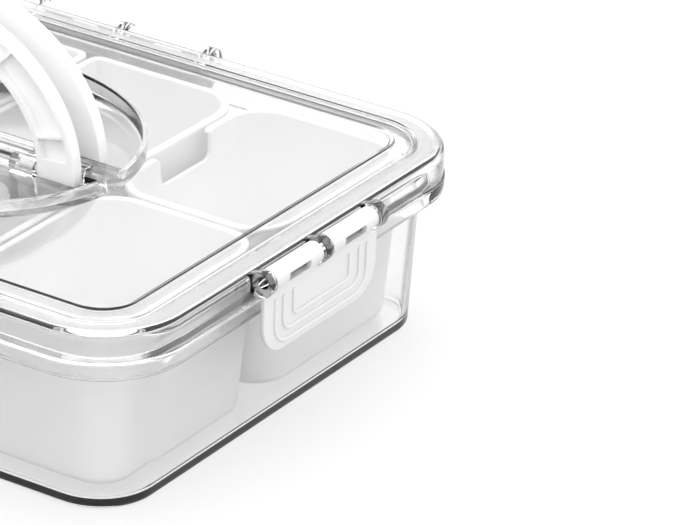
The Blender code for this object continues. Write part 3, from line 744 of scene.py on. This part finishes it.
def make_handle(name, side, material):
    """side is -1 at the front and +1 at the rear; the channel faces away from the bar."""
    centre_y = side * (HANDLE_Y - HANDLE_INWARD)
    half = HANDLE_THICKNESS / 2
    axes = Matrix(((1, 0, 0, 0), (0, 0, -side, centre_y), (0, 1, 0, PIVOT_Z), (0, 0, 0, 1)))
    outline = arch_outline(HANDLE_HALF_LENGTH, HANDLE_RISE, HANDLE_INNER_HALF, HANDLE_INNER_RISE)
    handle = soften(extruded(name + "_arch", outline, -half, half, axes),
                    HANDLE_SOFTNESS, SOFT_SEGMENTS, SOFT_ANGLE)

    border = CHANNEL_BORDER
    band_outer = (HANDLE_HALF_LENGTH - border, HANDLE_RISE - border)
    band_inner = (HANDLE_INNER_HALF + border, HANDLE_INNER_RISE + border)
    first = math.asin(FIRST_RIB_RISE / HANDLE_RISE)
    ribs = [first] + [math.radians(angle) for angle in RIB_ANGLES] + [math.pi - first]
    web = RIB_THICKNESS / 2 / HANDLE_RISE
    for start, end in zip(ribs, ribs[1:]):
        start += web
        end -= web
        angles = [start + (end - start) * step / CHANNEL_STEPS for step in range(CHANNEL_STEPS + 1)]
        outer = [(band_outer[0] * math.cos(a), band_outer[1] * math.sin(a)) for a in angles]
        inner = [(band_inner[0] * math.cos(a), band_inner[1] * math.sin(a)) for a in angles]
        pocket = extruded("pocket", outer + inner[::-1], -half - MM, -half + CHANNEL_DEPTH, axes)
        boolean(handle, soften(pocket, CHANNEL_SOFTNESS, 2, SOFT_ANGLE), "DIFFERENCE")
    round_foot(handle, side)
    for side_x in (-1, 1):
        face_x = side_x * (HANDLE_INNER_HALF + PIN_ROOT)
        tip_x = side_x * (HANDLE_INNER_HALF - PIN_GAP - PIN_LENGTH)
        pin = rod("pin", (tip_x, side * HANDLE_Y, PIVOT_Z), (face_x, side * HANDLE_Y, PIVOT_Z),
                  PIN_RADIUS, ROD_SEGMENTS)
        boolean(handle, pin, "UNION")
    finish_piece(handle, material, name, name)


# ---- latches -----------------------------------------------------------------------------------
def plate_outline(half_width):
    """Latch plate seen from outside: square at the top, large radii at the bottom."""
    points = [(half_width, PLATE_TOP), (-half_width, PLATE_TOP)]
    for side, start in ((-1, 180), (1, 270)):
        centre_y = side * (half_width - PLATE_RADIUS)
        for step in range(PLATE_STEPS + 1):
            angle = math.radians(start + 90 * step / PLATE_STEPS)
            points.append((centre_y + PLATE_RADIUS * math.cos(angle),
                           PLATE_BOTTOM + PLATE_RADIUS + PLATE_RADIUS * math.sin(angle)))
    return points


def ridge_path(half_width, rise, radius):
    """Open U from one upper end to the other, in (along, z)."""
    bottom = PLATE_BOTTOM + rise
    points = [(-half_width, RIDGE_TOP)]
    for side, start in ((-1, 180), (1, 270)):
        centre_y = side * (half_width - radius)
        for step in range(RIDGE_STEPS + 1):
            angle = math.radians(start + 90 * step / RIDGE_STEPS)
            points.append((centre_y + radius * math.cos(angle), bottom + radius + radius * math.sin(angle)))
    points.append((half_width, RIDGE_TOP))
    return points


def add_ridge(latch, half_width, rise, radius):
    """A raised U on the plate's outer face with rounded upper ends."""
    wide = ridge_path(half_width + RIDGE_RADIUS, rise - RIDGE_RADIUS, radius + RIDGE_RADIUS)
    narrow = ridge_path(half_width - RIDGE_RADIUS, rise + RIDGE_RADIUS, radius - RIDGE_RADIUS)
    tips = []
    for side in (1, -1):
        for step in range(1, RIDGE_STEPS):
            angle = math.pi * step / RIDGE_STEPS
            tips.append((side * half_width + RIDGE_RADIUS * math.cos(angle),
                         RIDGE_TOP + RIDGE_RADIUS * math.sin(angle)))
    half = len(tips) // 2
    outline = wide + tips[:half] + narrow[::-1] + tips[half:]
    face = PLATE_INNER + PLATE_THICKNESS
    ridge = extruded("ridge", outline, face - RIDGE_ROOT, face + RIDGE_HEIGHT, ALONG_SIDE)
    boolean(latch, soften(ridge, RIDGE_SOFTNESS, SOFT_SEGMENTS, SOFT_ANGLE), "UNION")


def make_latch(name, pitch, matrix, material):
    """A flap on two split barrels, modelled facing +X and then placed on its rod."""
    half_width = pitch + PLATE_MARGIN
    outer = PLATE_INNER + PLATE_THICKNESS
    latch = extruded(name + "_flap", plate_outline(half_width), PLATE_INNER, outer, ALONG_SIDE)
    soften(latch, PLATE_SOFTNESS, SOFT_SEGMENTS, SOFT_ANGLE)
    inner_end = EAR_THICKNESS / 2 + BARREL_GAP
    outer_end = pitch - EAR_THICKNESS / 2 - BARREL_GAP
    for side in (-1, 1):
        ends = sorted((side * inner_end, side * outer_end))
        barrel = rod("barrel", (LATCH_OFFSET, ends[0], LATCH_Z), (LATCH_OFFSET, ends[1], LATCH_Z),
                     BARREL_RADIUS, BARREL_SEGMENTS)
        soften(barrel, BARREL_SOFTNESS, SOFT_SEGMENTS, SOFT_ANGLE)
        neck = box("neck", (PLATE_INNER + NECK_STEP, ends[0] + NECK_STEP, PLATE_TOP - 2 * MM),
                   (outer - NECK_STEP, ends[1] - NECK_STEP, LATCH_Z - MM))
        boolean(latch, neck, "UNION")
        boolean(latch, barrel, "UNION")
        bore = rod("bore", (LATCH_OFFSET, ends[0] - MM, LATCH_Z), (LATCH_OFFSET, ends[1] + MM, LATCH_Z),
                   BARREL_BORE, BORE_SEGMENTS)
        boolean(latch, bore, "DIFFERENCE")
        middle = side * pitch / 2
        window = box("window", (LATCH_OFFSET - WINDOW_INNER, middle - WINDOW_WIDTH / 2, WINDOW_LOW),
                     (LATCH_OFFSET + CUT_REACH, middle + WINDOW_WIDTH / 2, WINDOW_HIGH))
        boolean(latch, soften(window, WINDOW_SOFTNESS, SOFT_SEGMENTS), "DIFFERENCE")
        mouth = box("mouth", (LATCH_OFFSET - CUT_REACH, ends[0] - MM, LATCH_Z - MOUTH_HEIGHT / 2),
                    (LATCH_OFFSET, ends[1] + MM, LATCH_Z + MOUTH_HEIGHT / 2))
        boolean(latch, mouth, "DIFFERENCE")
    for inset, rise, radius in zip(RIDGE_INSETS, RIDGE_RISES, RIDGE_RADII):
        add_ridge(latch, half_width - inset, rise, radius)
    hook_half = half_width - PLATE_RADIUS
    root = PLATE_INNER + HOOK_ROOT
    hook_outline = [(HOOK_OFFSET, HOOK_TOP), (HOOK_OFFSET, HOOK_TOP - HOOK_TIP),
                    (root, HOOK_BOTTOM), (root, HOOK_TOP)]
    boolean(latch, extruded("hook", hook_outline, -hook_half, hook_half, ACROSS_SIDE), "UNION")
    placed(latch, matrix)
    finish_piece(latch, material, name, name)


# ---- bins --------------------------------------------------------------------------------------
def bin_outline(low, high, inset, radii):
    """A bin's plan, drawn in by inset all round."""
    shrunk = tuple(max(radius - inset, BIN_LEAST_RADIUS) for radius in radii)
    return rounded_outline((low.x + inset, low.y + inset), (high.x - inset, high.y - inset), shrunk,
                           BIN_CORNER_STEPS)


def bin_profile():
    """(inset, z) points from the middle of the underside, over the rim, to the inside floor."""
    base_inset = BIN_LIP + BIN_DRAFT
    profile = []
    for step in range(BIN_BASE_STEPS + 1):
        angle = math.radians(90 * step / BIN_BASE_STEPS)
        profile.append((base_inset + BIN_BASE_RADIUS * (1 - math.sin(angle)),
                        BIN_BASE + BIN_BASE_RADIUS * (1 - math.cos(angle))))
    profile += rounded_path([
        (base_inset - BIN_WALL_INSET, BIN_BASE + BIN_BASE_RADIUS + BIN_WALL_START, 0),
        (BIN_LIP, BIN_TOP - BIN_LIP_HEIGHT, BIN_UNDER_LIP_FILLET),
        (0.0, BIN_TOP - BIN_LIP_HEIGHT, BIN_LIP_FILLET),
        (0.0, BIN_TOP, BIN_OUTER_TOP_FILLET),
        (BIN_LIP + BIN_WALL, BIN_TOP, BIN_INNER_TOP_FILLET),
        (base_inset + BIN_WALL, BIN_BASE + BIN_BASE_RADIUS + MM, 0),
    ])
    for step in range(1, BIN_BASE_STEPS + 1):
        angle = math.radians(90 * step / BIN_BASE_STEPS)
        profile.append((base_inset + BIN_WALL + BIN_INNER_RADIUS * (1 - math.cos(angle)),
                        BIN_BASE + BIN_WALL + BIN_INNER_RADIUS * (1 - math.sin(angle))))
    return profile


def cut_notch(item, wall_x, middle_y):
    """Finger notch in the wall that faces the neighbouring bin, with rounded corners."""
    low_z = BIN_TOP - NOTCH_DEPTH
    wide = NOTCH_TOP_WIDTH / 2
    narrow = NOTCH_WIDTH / 2
    over = wide + NOTCH_OVERRUN
    side = rounded_path([
        (0.0, low_z, 0),
        (narrow + NOTCH_FLOOR_STEP, low_z, NOTCH_FLOOR_FILLET),
        (wide - NOTCH_LIP_STEP, BIN_TOP, NOTCH_LIP_FILLET),
        (over, BIN_TOP, 0),
        (over, BIN_TOP + MM, 0),
    ], NOTCH_STEPS)
    outline = side[1:] + [(-y, z) for y, z in reversed(side)]
    axes = Matrix(((0, 0, 1, wall_x), (1, 0, 0, middle_y), (0, 1, 0, 0), (0, 0, 0, 1)))
    boolean(item, extruded("notch", outline, -NOTCH_REACH, NOTCH_REACH, axes), "DIFFERENCE")


def make_bin(name, is_end, material):
    """Lift-out bin sized from the frame; the end bins have round corners all round."""
    low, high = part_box(name)
    side_x = 1 if low.x + high.x > 0 else -1
    inner_radius = BIN_RADIUS if is_end else BIN_TIGHT_RADIUS
    left, right = (inner_radius, BIN_RADIUS) if side_x > 0 else (BIN_RADIUS, inner_radius)
    radii = (left, right, right, left)
    sections = [(bin_outline(low, high, inset, radii), z) for inset, z in bin_profile()]
    item = loft(name + "_tray", sections)
    if is_end and low.y > 0:
        cut_notch(item, low.x if side_x > 0 else high.x, (low.y + high.y) / 2)
    finish_piece(item, material, name, name)


# ---- stage -------------------------------------------------------------------------------------
def make_floor():
    """Plain floor that gives off its own white light, as a light table does."""
    floor = box("floor", (-FLOOR_HALF, -FLOOR_HALF, FLOOR_BOTTOM), (FLOOR_HALF, FLOOR_HALF, FLOOR_TOP))
    material, shader = principled("floor_white", (FLOOR_GREY,) * 3, FLOOR_ROUGHNESS)
    shader.inputs["Specular IOR Level"].default_value = 0.0
    shader.inputs["Emission Color"].default_value = (1.0, 1.0, 1.0, 1.0)
    shader.inputs["Emission Strength"].default_value = FLOOR_GLOW
    floor.data.materials.append(material)


def make_world():
    """White above and a little greyer near the horizon."""
    world = bpy.data.worlds.new("studio")
    bpy.context.scene.world = world
    world.use_nodes = True
    nodes = world.node_tree.nodes
    links = world.node_tree.links
    place = nodes.new("ShaderNodeTexCoord")
    split = nodes.new("ShaderNodeSeparateXYZ")
    ramp = nodes.new("ShaderNodeValToRGB")
    ramp.color_ramp.elements[0].position = HORIZON_END
    ramp.color_ramp.elements[0].color = (HORIZON_GREY, HORIZON_GREY, HORIZON_GREY, 1.0)
    ramp.color_ramp.elements[1].position = OVERHEAD_START
    ramp.color_ramp.elements[1].color = (1.0, 1.0, 1.0, 1.0)
    links.new(place.outputs["Generated"], split.inputs["Vector"])
    links.new(split.outputs["Z"], ramp.inputs["Fac"])
    links.new(ramp.outputs["Color"], nodes["Background"].inputs["Color"])
    nodes["Background"].inputs["Strength"].default_value = SKY_STRENGTH


def make_softbox():
    light = bpy.data.lights.new("overhead", "AREA")
    light.shape = "SQUARE"
    light.size = SOFTBOX_SIZE
    light.energy = SOFTBOX_POWER
    item = bpy.data.objects.new("overhead", light)
    bpy.context.scene.collection.objects.link(item)
    item.location = SOFTBOX_PLACE
    aim = Vector(SOFTBOX_TARGET) - Vector(SOFTBOX_PLACE)
    item.rotation_euler = aim.to_track_quat("-Z", "Y").to_euler()


def make_camera():
    """Long lens from the right of the front, a little rolled."""
    data = bpy.data.cameras.new("camera")
    data.sensor_width = SENSOR_WIDTH
    data.lens = LENS
    data.clip_start = CLIP_START
    data.clip_end = CLIP_END
    camera = bpy.data.objects.new("camera", data)
    bpy.context.scene.collection.objects.link(camera)
    azimuth = math.radians(CAMERA_AZIMUTH)
    elevation = math.radians(CAMERA_ELEVATION)
    roll = math.radians(CAMERA_ROLL)
    back = Vector((math.sin(azimuth) * math.cos(elevation), -math.cos(azimuth) * math.cos(elevation),
                   math.sin(elevation)))
    right = Vector((math.cos(azimuth), math.sin(azimuth), 0.0))
    up = back.cross(right)
    rolled_right = right * math.cos(roll) + up * math.sin(roll)
    rolled_up = -right * math.sin(roll) + up * math.cos(roll)
    turn = Matrix((rolled_right, rolled_up, back)).transposed()
    camera.matrix_world = Matrix.Translation(CAMERA_PLACE) @ turn.to_4x4()
    bpy.context.scene.camera = camera


# ---- build -------------------------------------------------------------------------------------
def main():
    make_camera()
    make_floor()
    make_world()
    make_softbox()
    bpy.context.scene.view_settings.view_transform = "Standard"

    clear = clear_plastic("clear_plastic", CLEAR_TINT)
    make_tub(clear)
    make_lid(clear)
    make_seal(clear_silicone("clear_silicone"))
    # The handles' white is a darkened copy of the same white plastic: painted shade.
    handle_white_painted_shade = white_plastic("handle_white_painted_shade", HANDLE_WHITE_PAINTED_SHADE, HARD_ROUGHNESS)
    make_handle("handle_front", -1, handle_white_painted_shade)
    make_handle("handle_rear", 1, handle_white_painted_shade)
    # The latches' white is a darkened copy of the same white plastic: painted shade.
    latch_white_painted_shade = white_plastic("latch_white_painted_shade", LATCH_WHITE_PAINTED_SHADE, HARD_ROUGHNESS)
    for name, pitch, matrix in latch_frames():
        make_latch("latch_" + name, pitch, matrix, latch_white_painted_shade)
    bin_white = white_plastic("bin_white", BIN_WHITE, BIN_ROUGHNESS)
    for row in ("front", "rear"):
        for number in (1, 2, 3, 4):
            make_bin("bin_" + row + "_" + str(number), number in (1, 4), bin_white)


main()
